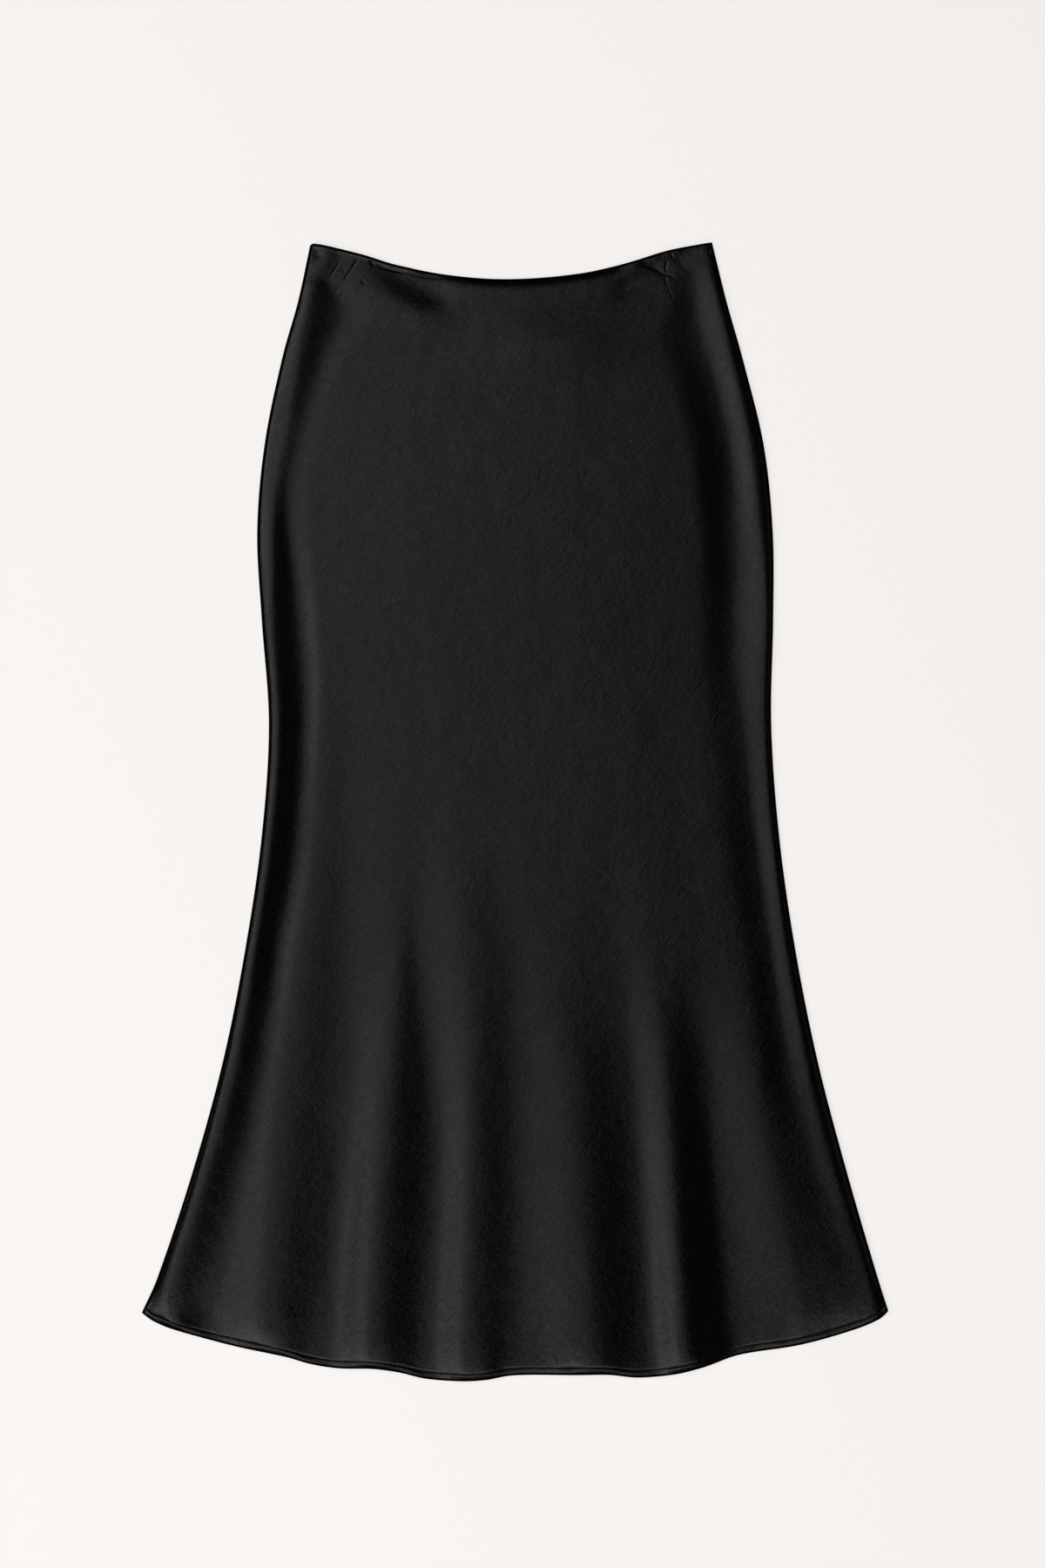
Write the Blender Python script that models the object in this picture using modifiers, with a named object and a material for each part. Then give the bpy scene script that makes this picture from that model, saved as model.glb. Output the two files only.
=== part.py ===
"""A bias-cut satin slip skirt, lying flat on its back.

The front panel lies on the back panel and the two meet at the side seams.
Each panel has a narrow turned edge at the waist and a narrow turned hem.
+X is the viewer's right, +Y points to the waist and +Z up, away from the surface that the skirt lies on.
The origin is the middle of that surface under the skirt. Sizes are in metres; the tables are in millimetres.
"""

import math
from collections import namedtuple

import bmesh
import bpy

MM = 0.001

# Cloth and seams, in millimetres
WALL = 1.0  # cloth wall
TURNED_WALL = 1.1  # the pressed layers of a turned edge
TURNED_LIFT = 0.2  # how far a turned edge stands proud of its panel
SEAM_GAP = 0.4  # between two pieces that are sewn together, down the skirt
SIDE_GAP = 0.8  # between the outer faces at a side seam, which narrows inwards
WAIST_TURN = 4.5  # depth of the turned waist edge
HEM_TURN = 6.0  # depth of the turned hem
BACK_SHORTER = 1.5  # how far the back stays inside the front at the waist and the hem
PANEL_LENGTH = 880.0  # a mean length from waist to hem, which turns depths into shares

# Where the cloth turns over at the sides
SEAM_HEIGHT = 2.1
FRONT_ROUND = 2.2
BACK_ROUND = 2.6

# The front settles onto the back towards the waist, and a little towards the hem
WAIST_HEIGHT = 3.1
WAIST_SETTLE = 30.0
HEM_HEIGHT = 3.6
HEM_SETTLE = 45.0
HEM_SETTLE_SHARE = 0.22

# Facets
EDGE_STEPS = 4
RISE_STEPS = 2
FOLD_STEPS = 3
FRONT_ROWS = 28
BACK_ROWS = 16
BACK_MIDDLE_COLUMNS = 24

# The outline from above. y is measured from the middle of the skirt, left and right from its centre line.
Side = namedtuple("Side", "place y left right")
SIDES = [
    Side("waist", 457, 163.9, 157.4),
    Side("below waist", 410, 174.0, 169.0),
    Side("high hip", 365, 186.6, 181.7),
    Side("upper hip", 295, 200.9, 198.8),
    Side("hip", 225, 206.9, 206.2),
    Side("thigh", 155, 203.3, 206.6),
    Side("knee", 70, 197.5, 205.0),
    Side("below knee", -20, 203.3, 211.4),
    Side("calf", -110, 216.4, 224.2),
    Side("low calf", -200, 234.3, 242.2),
    Side("shin", -290, 259.0, 265.9),
    Side("above hem", -375, 287.3, 290.8),
    Side("hem corner", -402, 299.4, 299.4),
]

# The waist and hem edges. share runs from 0 at the left side to 1 at the right.
Edge = namedtuple("Edge", "share y")
WAIST_EDGE = [
    Edge(0.000, 456.3),
    Edge(0.046, 453.8),
    Edge(0.133, 447.2),
    Edge(0.220, 439.1),
    Edge(0.350, 430.9),
    Edge(0.490, 427.7),
    Edge(0.655, 431.8),
    Edge(0.780, 440.5),
    Edge(0.890, 450.7),
    Edge(1.000, 457.0),
]
HEM_EDGE = [
    Edge(0.000, -402.2),
    Edge(0.016, -408.9),
    Edge(0.040, -414.8),
    Edge(0.110, -427.1),
    Edge(0.192, -437.4),
    Edge(0.227, -443.7),
    Edge(0.262, -446.9),
    Edge(0.309, -447.0),
    Edge(0.344, -450.0),
    Edge(0.380, -455.4),
    Edge(0.426, -457.0),
    Edge(0.461, -455.9),
    Edge(0.496, -452.6),
    Edge(0.578, -452.2),
    Edge(0.624, -451.9),
    Edge(0.664, -454.4),
    Edge(0.706, -452.3),
    Edge(0.753, -445.5),
    Edge(0.800, -436.1),
    Edge(0.882, -427.9),
    Edge(0.952, -416.1),
    Edge(0.987, -407.2),
    Edge(1.000, -400.6),
]

# The soft roll along each side of the front: how far in from the side its crest and the hollow beside it
# run, and how high they stand above the surface.
Roll = namedtuple(
    "Roll",
    "y left_crest left_hollow right_crest right_hollow left_height right_height hollow_height",
)
ROLLS = [
    Roll(440, 10, 26, 9, 23, 4.4, 4.8, 2.8),
    Roll(365, 13, 34, 11, 31, 5.4, 6.6, 2.5),
    Roll(225, 13, 29, 11, 33, 5.2, 7.2, 2.4),
    Roll(57, 9, 26, 9, 26, 7.2, 6.4, 2.4),
    Roll(-110, 8, 24, 9, 21, 7.0, 6.0, 2.5),
    Roll(-250, 14, 34, 10, 28, 6.4, 5.8, 2.8),
    Roll(-363, 20, 44, 11, 30, 6.2, 6.0, 3.2),
    Roll(-440, 25, 54, 12, 40, 6.2, 5.8, 3.6),
]

# The flutes of the front, left to right: each row is the crest or the hollow between two crests, with its x
# and its height at four levels. Above the knee they die away into the level middle of the panel.
KNEE, CALF, SHIN, HEM = 57, -110, -250, -440
Fold = namedtuple("Fold", "name x_knee x_calf x_shin x_hem z_knee z_calf z_shin z_hem")
FOLDS = [
    Fold("first crest", -156, -168, -180, -198, 3.8, 4.3, 5.8, 7.8),
    Fold("first hollow", -138, -133, -140, -158, 3.4, 3.4, 3.4, 4.4),
    Fold("second crest", -106, -98, -101, -112, 3.7, 4.4, 7.6, 10.6),
    Fold("second hollow", -80, -75, -67, -76, 3.6, 3.2, 3.4, 4.2),
    Fold("third crest", -50, -43, -35, -37, 3.7, 4.7, 7.6, 10.6),
    Fold("third hollow", -20, -12, -2, -4, 3.6, 3.8, 4.2, 5.4),
    Fold("fourth crest", 25, 34, 44, 54, 3.7, 4.3, 6.6, 9.0),
    Fold("fourth hollow", 70, 84, 93, 102, 3.6, 3.2, 3.0, 3.4),
    Fold("fifth crest", 95, 110, 126, 140, 3.7, 4.5, 8.0, 11.6),
    Fold("fifth hollow", 125, 138, 160, 182, 3.6, 3.4, 3.2, 3.4),
    Fold("sixth crest", 158, 183, 197, 232, 4.2, 4.9, 6.4, 6.8),
]
# In the torso the first and last crests become the shoulders of the level middle.
Shoulder = namedtuple("Shoulder", "y left_inset right_inset left_height right_height middle")
SHOULDERS = [
    Shoulder(440, 44, 40, 3.4, 3.9, 3.4),
    Shoulder(365, 54, 62, 3.9, 4.7, 3.7),
    Shoulder(225, 49, 66, 3.9, 5.0, 3.7),
]


def smooth(rows, at, column, value):
    """The named column of a table at a position, on a cubic through its rows, which run up or down by position."""
    rows = sorted(rows, key=lambda row: getattr(row, column))
    places = [getattr(row, column) for row in rows]
    values = [getattr(row, value) for row in rows]
    at = min(max(at, places[0]), places[-1])
    last = len(rows) - 1
    k = min(max(sum(place <= at for place in places) - 1, 0), last - 1)

    def slope(i):
        before, after = max(i - 1, 0), min(i + 1, last)
        return (values[after] - values[before]) / (places[after] - places[before])

    width = places[k + 1] - places[k]
    t = (at - places[k]) / width
    return (
        values[k] * (2 * t**3 - 3 * t**2 + 1)
        + values[k + 1] * (3 * t**2 - 2 * t**3)
        + slope(k) * width * (t**3 - 2 * t**2 + t)
        + slope(k + 1) * width * (t**3 - t**2)
    )


def ease(t):
    """From 0 to 1 with level ends."""
    t = min(max(t, 0.0), 1.0)
    return t * t * (3 - 2 * t)


def sides(y):
    """x of the left and the right side at this y."""
    return -smooth(SIDES, y, "y", "left"), smooth(SIDES, y, "y", "right")


Level = namedtuple("Level", "y x z")


def fold_lines(y):
    """(x, height) of every crest and hollow of the front at this y, from side to side."""
    left, right = sides(y)
    roll = {name: smooth(ROLLS, y, "y", name) for name in Roll._fields[1:]}
    shoulder = {name: smooth(SHOULDERS, y, "y", name) for name in Shoulder._fields[1:]}
    torso = ease((y - KNEE) / (SHOULDERS[-1].y - KNEE))
    lines = [
        (left + roll["left_crest"], roll["left_height"]),
        (left + roll["left_hollow"], roll["hollow_height"]),
    ]
    ends = (
        (left + shoulder["left_inset"], shoulder["left_height"]),
        (right - shoulder["right_inset"], shoulder["right_height"]),
    )
    first, last = (fold_at(FOLDS[i], y) for i in (0, -1))
    ends = [
        (low[0] + (high[0] - low[0]) * torso, low[1] + (high[1] - low[1]) * torso)
        for low, high in ((first, ends[0]), (last, ends[1]))
    ]
    for number, fold in enumerate(FOLDS):
        x, z = fold_at(fold, y)
        share = (x - first[0]) / (last[0] - first[0])
        x = ends[0][0] + share * (ends[1][0] - ends[0][0])
        if number in (0, len(FOLDS) - 1):
            z = ends[0][1] if number == 0 else ends[1][1]
        else:
            z += (shoulder["middle"] - z) * torso
        lines.append((x, z))
    return lines + [
        (right - roll["right_hollow"], roll["hollow_height"]),
        (right - roll["right_crest"], roll["right_height"]),
    ]


def fold_at(fold, y):
    """x and height of one crest or hollow at this y. It runs straight up above the knee."""
    levels = [
        Level(HEM, fold.x_hem, fold.z_hem),
        Level(SHIN, fold.x_shin, fold.z_shin),
        Level(CALF, fold.x_calf, fold.z_calf),
        Level(KNEE, fold.x_knee, fold.z_knee),
    ]
    return smooth(levels, y, "y", "x"), smooth(levels, y, "y", "z")


def between(a, b, t):
    """A point between two fold lines: its height swings from one to the other with level ends."""
    swing = (1 - math.cos(math.pi * t)) / 2
    return a[0] + (b[0] - a[0]) * t, a[1] + (b[1] - a[1]) * swing


def front_columns():
    """One entry for each column of the front: which stretch between fold lines it is in, and how far along."""
    stretches = len(FOLDS) + 5
    columns = [("left edge", k / EDGE_STEPS) for k in range(EDGE_STEPS)]
    columns += [("left rise", k / RISE_STEPS) for k in range(RISE_STEPS)]
    for stretch in range(stretches - 2):
        columns += [(stretch, k / FOLD_STEPS) for k in range(FOLD_STEPS)]
    columns += [("right rise", 1 - k / RISE_STEPS) for k in range(RISE_STEPS)]
    columns += [("right edge", 1 - k / EDGE_STEPS) for k in range(EDGE_STEPS + 1)]
    return columns


def front_section(column, y):
    """x and height of the front's outer face at one column and this y, before it settles at waist and hem."""
    left, right = sides(y)
    lines = fold_lines(y)
    stretch, t = column
    if stretch in ("left edge", "right edge", "left rise", "right rise"):
        on_left = stretch.startswith("left")
        side, inwards = (left, 1) if on_left else (right, -1)
        crest = lines[0] if on_left else lines[-1]
        start = SEAM_HEIGHT + SIDE_GAP / 2
        if stretch.endswith("edge"):
            angle = t * math.pi / 2
            inset = FRONT_ROUND * (1 - math.cos(angle))
            height = FRONT_ROUND * math.sin(angle)
        else:
            inset = FRONT_ROUND + (abs(crest[0] - side) - FRONT_ROUND) * t
            height = FRONT_ROUND
        swell = crest[1] - start - FRONT_ROUND
        height += swell * math.sin(math.pi / 2 * inset / abs(crest[0] - side))
        return side + inwards * inset, start + height
    return between(lines[stretch], lines[stretch + 1], t)


def row_y(x, y, share_down):
    """y of a row that runs across the skirt, this share of the way from the waist edge to the hem edge."""
    left, right = sides(y)
    share = (x - left) / (right - left)
    waist = smooth(WAIST_EDGE, share, "share", "y")
    hem = smooth(HEM_EDGE, share, "share", "y")
    return waist + (hem - waist) * share_down


def settled(height, x, y):
    """The front's height once it has settled onto the back near the waist and the hem."""
    left, right = sides(y)
    inside = ease(min(x - left, right - x) / FRONT_ROUND / 2)
    from_waist = row_y(x, y, 0.0) - y
    from_hem = y - row_y(x, y, 1.0)
    pressed = 1 - ease(from_waist / WAIST_SETTLE)
    height += (min(height, WAIST_HEIGHT) - height) * pressed * inside
    eased = HEM_SETTLE_SHARE * (1 - ease(from_hem / HEM_SETTLE))
    return height + (min(height, HEM_HEIGHT) - height) * eased * inside


def front_point(column, share_down, lift=0.0):
    """A point of the front's outer face: a column, and the share of the way from waist to hem."""
    y = row_y(0.0, 0.0, share_down)
    for _ in range(6):
        x, height = front_section(column, y)
        y = row_y(x, y, share_down)
    return x * MM, y * MM, (settled(height, x, y) + lift) * MM


def back_columns():
    """Insets from the left side, or shares across the middle, for the back's columns."""
    rounds = [math.pi / 2 * k / EDGE_STEPS for k in range(EDGE_STEPS + 1)]
    middle = [k / BACK_MIDDLE_COLUMNS for k in range(1, BACK_MIDDLE_COLUMNS)]
    return (
        [("left", angle) for angle in rounds]
        + [("middle", share) for share in middle]
        + [("right", angle) for angle in reversed(rounds)]
    )


def back_point(column, share_down):
    """A point of the back's outer face, which is level where it rests and turns up at the sides."""
    where, t = column
    height = 0.0
    y = row_y(0.0, 0.0, share_down)
    for _ in range(6):
        left, right = sides(y)
        if where == "middle":
            x = left + BACK_ROUND + (right - left - 2 * BACK_ROUND) * t
        else:
            inset = BACK_ROUND * (1 - math.cos(t))
            x = left + inset if where == "left" else right - inset
            height = (SEAM_HEIGHT - SIDE_GAP / 2) * (1 - math.sin(t))
        y = row_y(x, y, share_down)
    return x * MM, y * MM, height * MM


def satin():
    """Black satin: almost no diffuse light, and a soft sheen."""
    material = bpy.data.materials.new("black_satin")
    material.use_nodes = True
    shader = material.node_tree.nodes["Principled BSDF"]
    shader.inputs["Base Color"].default_value = (0.012, 0.0115, 0.011, 1.0)
    shader.inputs["Roughness"].default_value = 0.42
    shader.inputs["Metallic"].default_value = 0.0
    return material


def cloth(name, point, columns, rows, wall, facing_up, material, collection):
    """A sheet of cloth: a grid whose points lie on its outer face, thickened inwards."""
    mesh = bpy.data.meshes.new(name)
    grid = bmesh.new()
    across, down = len(columns) - 1, len(rows) - 1
    bmesh.ops.create_grid(grid, x_segments=across, y_segments=down, size=0.5)
    for vertex in grid.verts:
        i = round((vertex.co.x + 0.5) * across)
        j = round((0.5 - vertex.co.y) * down)
        if not facing_up:
            i = across - i
        vertex.co = point(columns[i], rows[j])
    grid.to_mesh(mesh)
    grid.free()
    mesh.materials.append(material)
    mesh.shade_smooth()
    piece = bpy.data.objects.new(name, mesh)
    collection.objects.link(piece)
    shell = piece.modifiers.new("cloth wall", "SOLIDIFY")
    shell.thickness = wall * MM
    shell.offset = -1
    shell.use_rim = True
    return piece


def spaced_rows(start, end, count):
    """Shares down the skirt from start to end, closer together at both ends."""
    rows = []
    for k in range(count + 1):
        t = k / count
        crowded = (1 - math.cos(math.pi * t)) / 2
        rows.append(start + (end - start) * (0.55 * t + 0.45 * crowded))
    return rows


def build():
    for old in list(bpy.data.objects):
        bpy.data.objects.remove(old)
    collection = bpy.data.collections.new("slip_skirt")
    bpy.context.scene.collection.children.link(collection)
    centre = bpy.data.objects.new("skirt_origin", None)
    collection.objects.link(centre)
    material = satin()

    waist_turn, hem_turn, gap, shorter = (
        size / PANEL_LENGTH for size in (WAIST_TURN, HEM_TURN, SEAM_GAP, BACK_SHORTER)
    )


    def raised(column, share_down):
        return front_point(column, share_down, TURNED_LIFT)

    front, back = front_columns(), back_columns()
    panel_rows = (waist_turn + gap, 1 - hem_turn - gap)
    back_panel_rows = (panel_rows[0] + shorter, panel_rows[1] - shorter)
    pieces = [
        ("front_panel", front_point, front, spaced_rows(*panel_rows, FRONT_ROWS), WALL, True),
        ("front_waist_edge", raised, front, [0.0, waist_turn], TURNED_WALL, True),
        ("front_hem", raised, front, [1 - hem_turn, 1.0], TURNED_WALL, True),
        ("back_panel", back_point, back, spaced_rows(*back_panel_rows, BACK_ROWS), WALL, False),
        ("back_waist_edge", back_point, back, [shorter, shorter + waist_turn], TURNED_WALL, False),
        ("back_hem", back_point, back, [1 - shorter - hem_turn, 1 - shorter], TURNED_WALL, False),
    ]
    for name, point, columns, rows, wall, facing_up in pieces:
        piece = cloth(name, point, columns, rows, wall, facing_up, material, collection)
        piece.parent = centre


build()
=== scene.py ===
"""The looks of a black satin slip skirt, lying flat on its back on a pale floor.

Each panel is one fine shell over its CAD solid, with the creases and puckers of the real cloth.
Tables are in millimetres: x is to the viewer's right of the centre line, y towards the waist from the middle.
"""

import math
from collections import namedtuple

import bmesh
import bpy
import numpy as np
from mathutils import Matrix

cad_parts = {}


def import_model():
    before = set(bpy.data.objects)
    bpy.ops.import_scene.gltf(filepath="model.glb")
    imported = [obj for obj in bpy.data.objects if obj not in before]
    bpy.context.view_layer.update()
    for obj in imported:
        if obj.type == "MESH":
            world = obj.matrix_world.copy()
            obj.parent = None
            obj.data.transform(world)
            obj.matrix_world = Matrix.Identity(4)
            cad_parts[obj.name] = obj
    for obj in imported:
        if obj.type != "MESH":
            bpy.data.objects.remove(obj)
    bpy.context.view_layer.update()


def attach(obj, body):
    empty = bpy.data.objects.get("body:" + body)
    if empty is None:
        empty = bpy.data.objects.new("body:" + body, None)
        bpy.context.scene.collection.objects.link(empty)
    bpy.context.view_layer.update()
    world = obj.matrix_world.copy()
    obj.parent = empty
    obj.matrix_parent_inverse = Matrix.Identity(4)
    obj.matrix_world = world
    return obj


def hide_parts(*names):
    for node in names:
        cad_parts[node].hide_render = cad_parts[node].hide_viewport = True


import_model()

MM = 0.001

# ---------------------------------------------------------------- the cut, with the CAD model's outline

CLOTH = 0.7  # wall of the shells
SEAM_TOP = 2.5  # the front's edge at the side seam
SEAM_BOTTOM = 1.9  # the back's edge there
HEM_TURN = 6.0  # from the hem's edge up to its stitches
SIDE_ROUND = 0.55  # how far the soft seam stands out beyond the sides of the table
PITCH = 2.5  # one stitch and the space after it, which is finer than the photo's 3.6 to 3.9
STITCH_START = -292.0
THREAD_RADIUS, THREAD_SIDES = 0.19, 6
PANEL_DIP, BAND_DIP = 0.20, 0.22  # how far the cloth on each side is drawn in between stitches
STITCH_LIFT, STITCH_SINK = 0.10, 0.28  # how far a stitch's middle stands out, and its ends sink from there
REPEATS = 8  # x and y of a place on the cloth depend on each other, and settle in this many rounds
BACK_SHORTER = 1.5  # how far the back stays inside the front at the waist and the hem
EDGE_BAND, WAIST_BAND = 2.3, 1.9  # breadth of the outer edge band in near-black matt satin, painted shade that draws the cloth's thin dark outline

Side = namedtuple("Side", "y left right")
SIDES = [
    Side(457, 163.9, 157.4),
    Side(410, 174.0, 169.0),
    Side(365, 186.6, 181.7),
    Side(295, 200.9, 198.8),
    Side(225, 206.9, 206.2),
    Side(155, 203.3, 206.6),
    Side(70, 197.5, 205.0),
    Side(-20, 203.3, 211.4),
    Side(-110, 216.4, 224.2),
    Side(-200, 234.3, 242.2),
    Side(-290, 259.0, 265.9),
    Side(-375, 287.3, 290.8),
    Side(-402, 299.4, 299.4),
]

Edge = namedtuple("Edge", "share y")
WAIST_EDGE = [
    Edge(0.000, 454.4),
    Edge(0.007, 455.8),
    Edge(0.046, 453.8),
    Edge(0.133, 447.2),
    Edge(0.220, 439.1),
    Edge(0.350, 430.9),
    Edge(0.490, 427.7),
    Edge(0.655, 431.8),
    Edge(0.780, 440.5),
    Edge(0.890, 450.7),
    Edge(1.000, 457.0),
]
HEM_EDGE = [
    Edge(0.000, -402.2),
    Edge(0.016, -408.9),
    Edge(0.040, -414.8),
    Edge(0.110, -427.1),
    Edge(0.192, -437.4),
    Edge(0.227, -443.7),
    Edge(0.262, -446.9),
    Edge(0.309, -447.0),
    Edge(0.344, -450.0),
    Edge(0.380, -455.4),
    Edge(0.426, -457.0),
    Edge(0.461, -455.9),
    Edge(0.496, -452.6),
    Edge(0.578, -452.2),
    Edge(0.624, -451.9),
    Edge(0.664, -454.4),
    Edge(0.706, -452.3),
    Edge(0.753, -445.5),
    Edge(0.800, -436.1),
    Edge(0.882, -427.9),
    Edge(0.952, -416.1),
    Edge(0.987, -407.2),
    Edge(1.000, -400.6),
]

# Rolls, flutes and shoulders were refined from the photo, so they lie beside the CAD model's in places.
Roll = namedtuple(
    "Roll",
    "y left_crest left_hollow right_crest right_hollow left_height right_height left_low right_low",
)
ROLLS = [
    Roll(440, 15, 27, 7.5, 25, 5.2, 4.6, 4.2, 3.7),
    Roll(430, 9, 24, 7, 24, 5.0, 5.2, 3.9, 3.5),
    Roll(421, 9, 27, 7, 25, 6.0, 5.9, 3.1, 3.4),
    Roll(402, 8.5, 41, 7.5, 28, 7.0, 6.6, 2.5, 3.1),
    Roll(385, 10, 42, 8.5, 30, 6.8, 6.8, 2.7, 2.8),
    Roll(358, 12.5, 37, 10, 28, 6.4, 6.5, 3.3, 2.5),
    Roll(302, 15.5, 31, 11, 28, 5.9, 6.3, 4.5, 2.4),
    Roll(267, 12.5, 27, 11.5, 29, 6.0, 6.4, 4.5, 2.3),
    Roll(232, 11.5, 28, 10.5, 31, 6.8, 6.6, 3.9, 2.4),
    Roll(197, 11, 31, 7.5, 31, 7.4, 6.8, 2.9, 2.6),
    Roll(162, 8, 33, 5.5, 32, 7.2, 7.0, 2.3, 2.7),
    Roll(120, 7, 33, 5.5, 31, 7.4, 6.6, 2.2, 3.1),
    Roll(57, 6.8, 31, 5.5, 23, 7.7, 5.9, 2.2, 3.8),
    Roll(-48, 6.5, 32, 6.5, 19, 8.1, 5.6, 3.0, 3.5),
    Roll(-110, 7, 30, 8, 20, 8.1, 5.6, 3.2, 3.8),
    Roll(-188, 9, 35, 9, 24, 8.8, 6.5, 4.6, 4.8),
    Roll(-258, 11, 40, 10.5, 27, 9.8, 7.5, 4.8, 6.5),
    Roll(-328, 11.5, 46, 9, 26, 10.4, 7.7, 4.0, 7.0),
    Roll(-363, 12.5, 51, 8, 26, 10.4, 7.9, 3.5, 7.4),
    Roll(-390, 15, 55, 10, 31, 10.3, 8.1, 3.0, 7.6),
    Roll(-405, 18, 58, 15, 38, 10.2, 8.4, 2.7, 7.7),
    Roll(-440, 18, 58, 15, 38, 9.8, 8.4, 2.6, 7.7),
]
# Each side climbs to its roll's crest in two parts: a tight round edge of this breadth takes this share
# of the climb, and a soft flank, bent by this power, takes the rest.
LEFT_BEND, RIGHT_BEND = 1.5, 2.2
Flank = namedtuple("Flank", "y left_breadth left_share right_breadth right_share")
FLANKS = [
    Flank(440, 3.5, 0.60, 2, 0.40),
    Flank(424, 3, 0.50, 2, 0.40),
    Flank(402, 1.6, 0.35, 2, 0.40),
    Flank(358, 4, 0.35, 2, 0.40),
    Flank(302, 6, 0.45, 2, 0.40),
    Flank(250, 5, 0.40, 2, 0.40),
    Flank(197, 2.0, 0.35, 2, 0.40),
    Flank(162, 1.8, 0.42, 2, 0.40),
    Flank(57, 2.0, 0.52, 2, 0.40),
    Flank(-48, 2.0, 0.55, 2, 0.40),
    Flank(-118, 2.2, 0.55, 2, 0.40),
    Flank(-188, 5, 0.60, 2, 0.40),
    Flank(-223, 7, 0.75, 2, 0.40),
    Flank(-258, 8, 0.80, 2, 0.40),
    Flank(-328, 11, 0.85, 2, 0.40),
    Flank(-363, 13, 0.90, 2, 0.40),
    Flank(-398, 16, 1.00, 4, 0.40),
    Flank(-440, 18, 1.00, 4, 0.40),
]

KNEE, CALF, SHIN, HEM = -15, -110, -250, -440
Fold = namedtuple("Fold", "name x_knee x_calf x_shin x_hem z_knee z_calf z_shin z_hem")
FOLDS = [
    Fold("first crest", -160, -175, -193, -205, 3.7, 5.2, 6.9, 9.3),
    Fold("first hollow", -133, -130, -135, -151, 2.8, 2.6, 2.2, 2.3),
    Fold("second crest", -104, -95, -107, -119, 3.3, 4.0, 7.2, 9.3),
    Fold("second hollow", -80, -77, -61, -68, 3.5, 3.0, 2.4, 2.3),
    Fold("third crest", -50, -39, -37, -41, 3.9, 5.3, 6.5, 8.2),
    Fold("third hollow", -20, 0, 3, 8, 3.9, 3.8, 3.7, 3.7),
    Fold("fourth crest", 25, 30, 47, 58, 4.0, 4.2, 6.0, 7.8),
    Fold("fourth hollow", 70, 82, 97, 110, 4.1, 3.6, 2.7, 2.7),
    Fold("fifth crest", 100, 112, 123, 134, 4.3, 4.4, 7.1, 9.8),
    Fold("fifth hollow", 128, 142, 157, 179, 4.3, 4.4, 3.6, 2.7),
    Fold("sixth crest", 162, 182, 202, 246, 4.8, 5.0, 7.2, 7.4),
]
Shoulder = namedtuple("Shoulder", "y left_inset right_inset left_height right_height")
SHOULDERS = [
    Shoulder(440, 44, 40, 4.1, 4.0),
    Shoulder(421, 46, 44, 4.0, 4.1),
    Shoulder(402, 64, 50, 3.8, 4.6),
    Shoulder(385, 64, 64, 3.9, 4.6),
    Shoulder(358, 50, 65, 4.3, 5.3),
    Shoulder(267, 44, 62, 5.1, 6.0),
    Shoulder(162, 46, 60, 4.6, 4.5),
]
Level = namedtuple("Level", "y x z")
WAIST_HEIGHT, WAIST_SETTLE = 5.2, 26.0  # no higher than this at the waist, and over what breadth it settles
WAIST_FALL, WAIST_ROUND = 2.1, 10.0  # how far the waist edge turns down in its middle, and over what breadth
Ridge = namedtuple("Ridge", "below width height")
WAIST_LIP = Ridge(below=2.1, width=1.3, height=0.75)  # a low ridge along the ends of the waist edge instead
WAIST_MIDDLE = (-88.0, -66.0, 76.0, 104.0)  # where the fall begins, is full, is full still and has ended
WAIST_ROLLOVER = 1.1  # the waist edge rounds over within this breadth
WAIST_DROP, HEM_DROP, BACK_DROP = 0.35, 0.4, 0.5  # how far the front's edges and the back's round over
BACK_ROUND = 6.5  # the back turns up to its side seams within this breadth
HEM_HEIGHT, HEM_SETTLE, HEM_SETTLE_SHARE = 3.6, 30.0, 0.06
EDGE_FADE = 5.0  # creases and the settling die away within this distance of the sides
GROOVE_DEPTH, GROOVE_WIDTH = 0.5, 0.5  # the side seam's groove
LEAST_HEIGHT = 1.35  # the front stays above this, clear of the back
ROLL_LEAN = 0.82  # under 1, a roll falls away from its crest sooner than it levels out
HEM_LOW, BAND_FALL = 1.7, 0.40  # the height that the hem's cloth falls towards, and the turned band's share
# The cloth falls towards its hem's stitches, by a share of its height that dies away over the reach.
Fall = namedtuple("Fall", "x share reach")
HEM_FALLS = [
    Fall(-300, 0.20, 10),
    Fall(-286, 0.46, 10),
    Fall(-272, 0.08, 10),
    Fall(-262, 0.00, 10),
    Fall(-250, 0.00, 10),
    Fall(-236, 0.34, 10),
    Fall(-205, 0.36, 10),
    Fall(-182, 0.06, 10),
    Fall(-160, 0.06, 10),
    Fall(-140, 0.26, 10),
    Fall(-122, 0.24, 10),
    Fall(-100, 0.00, 10),
    Fall(-78, 0.02, 10),
    Fall(-58, 0.36, 10),
    Fall(-42, 0.20, 10),
    Fall(-22, 0.00, 10),
    Fall(-6, 0.06, 10),
    Fall(12, 0.26, 10),
    Fall(42, 0.30, 10),
    Fall(66, 0.06, 10),
    Fall(88, 0.00, 10),
    Fall(104, 0.06, 10),
    Fall(120, 0.34, 10),
    Fall(136, 0.14, 10),
    Fall(152, 0.00, 10),
    Fall(176, 0.04, 10),
    Fall(200, 0.20, 13),
    Fall(220, 0.48, 18),
    Fall(268, 0.56, 18),
    Fall(300, 0.30, 18),
]
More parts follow.
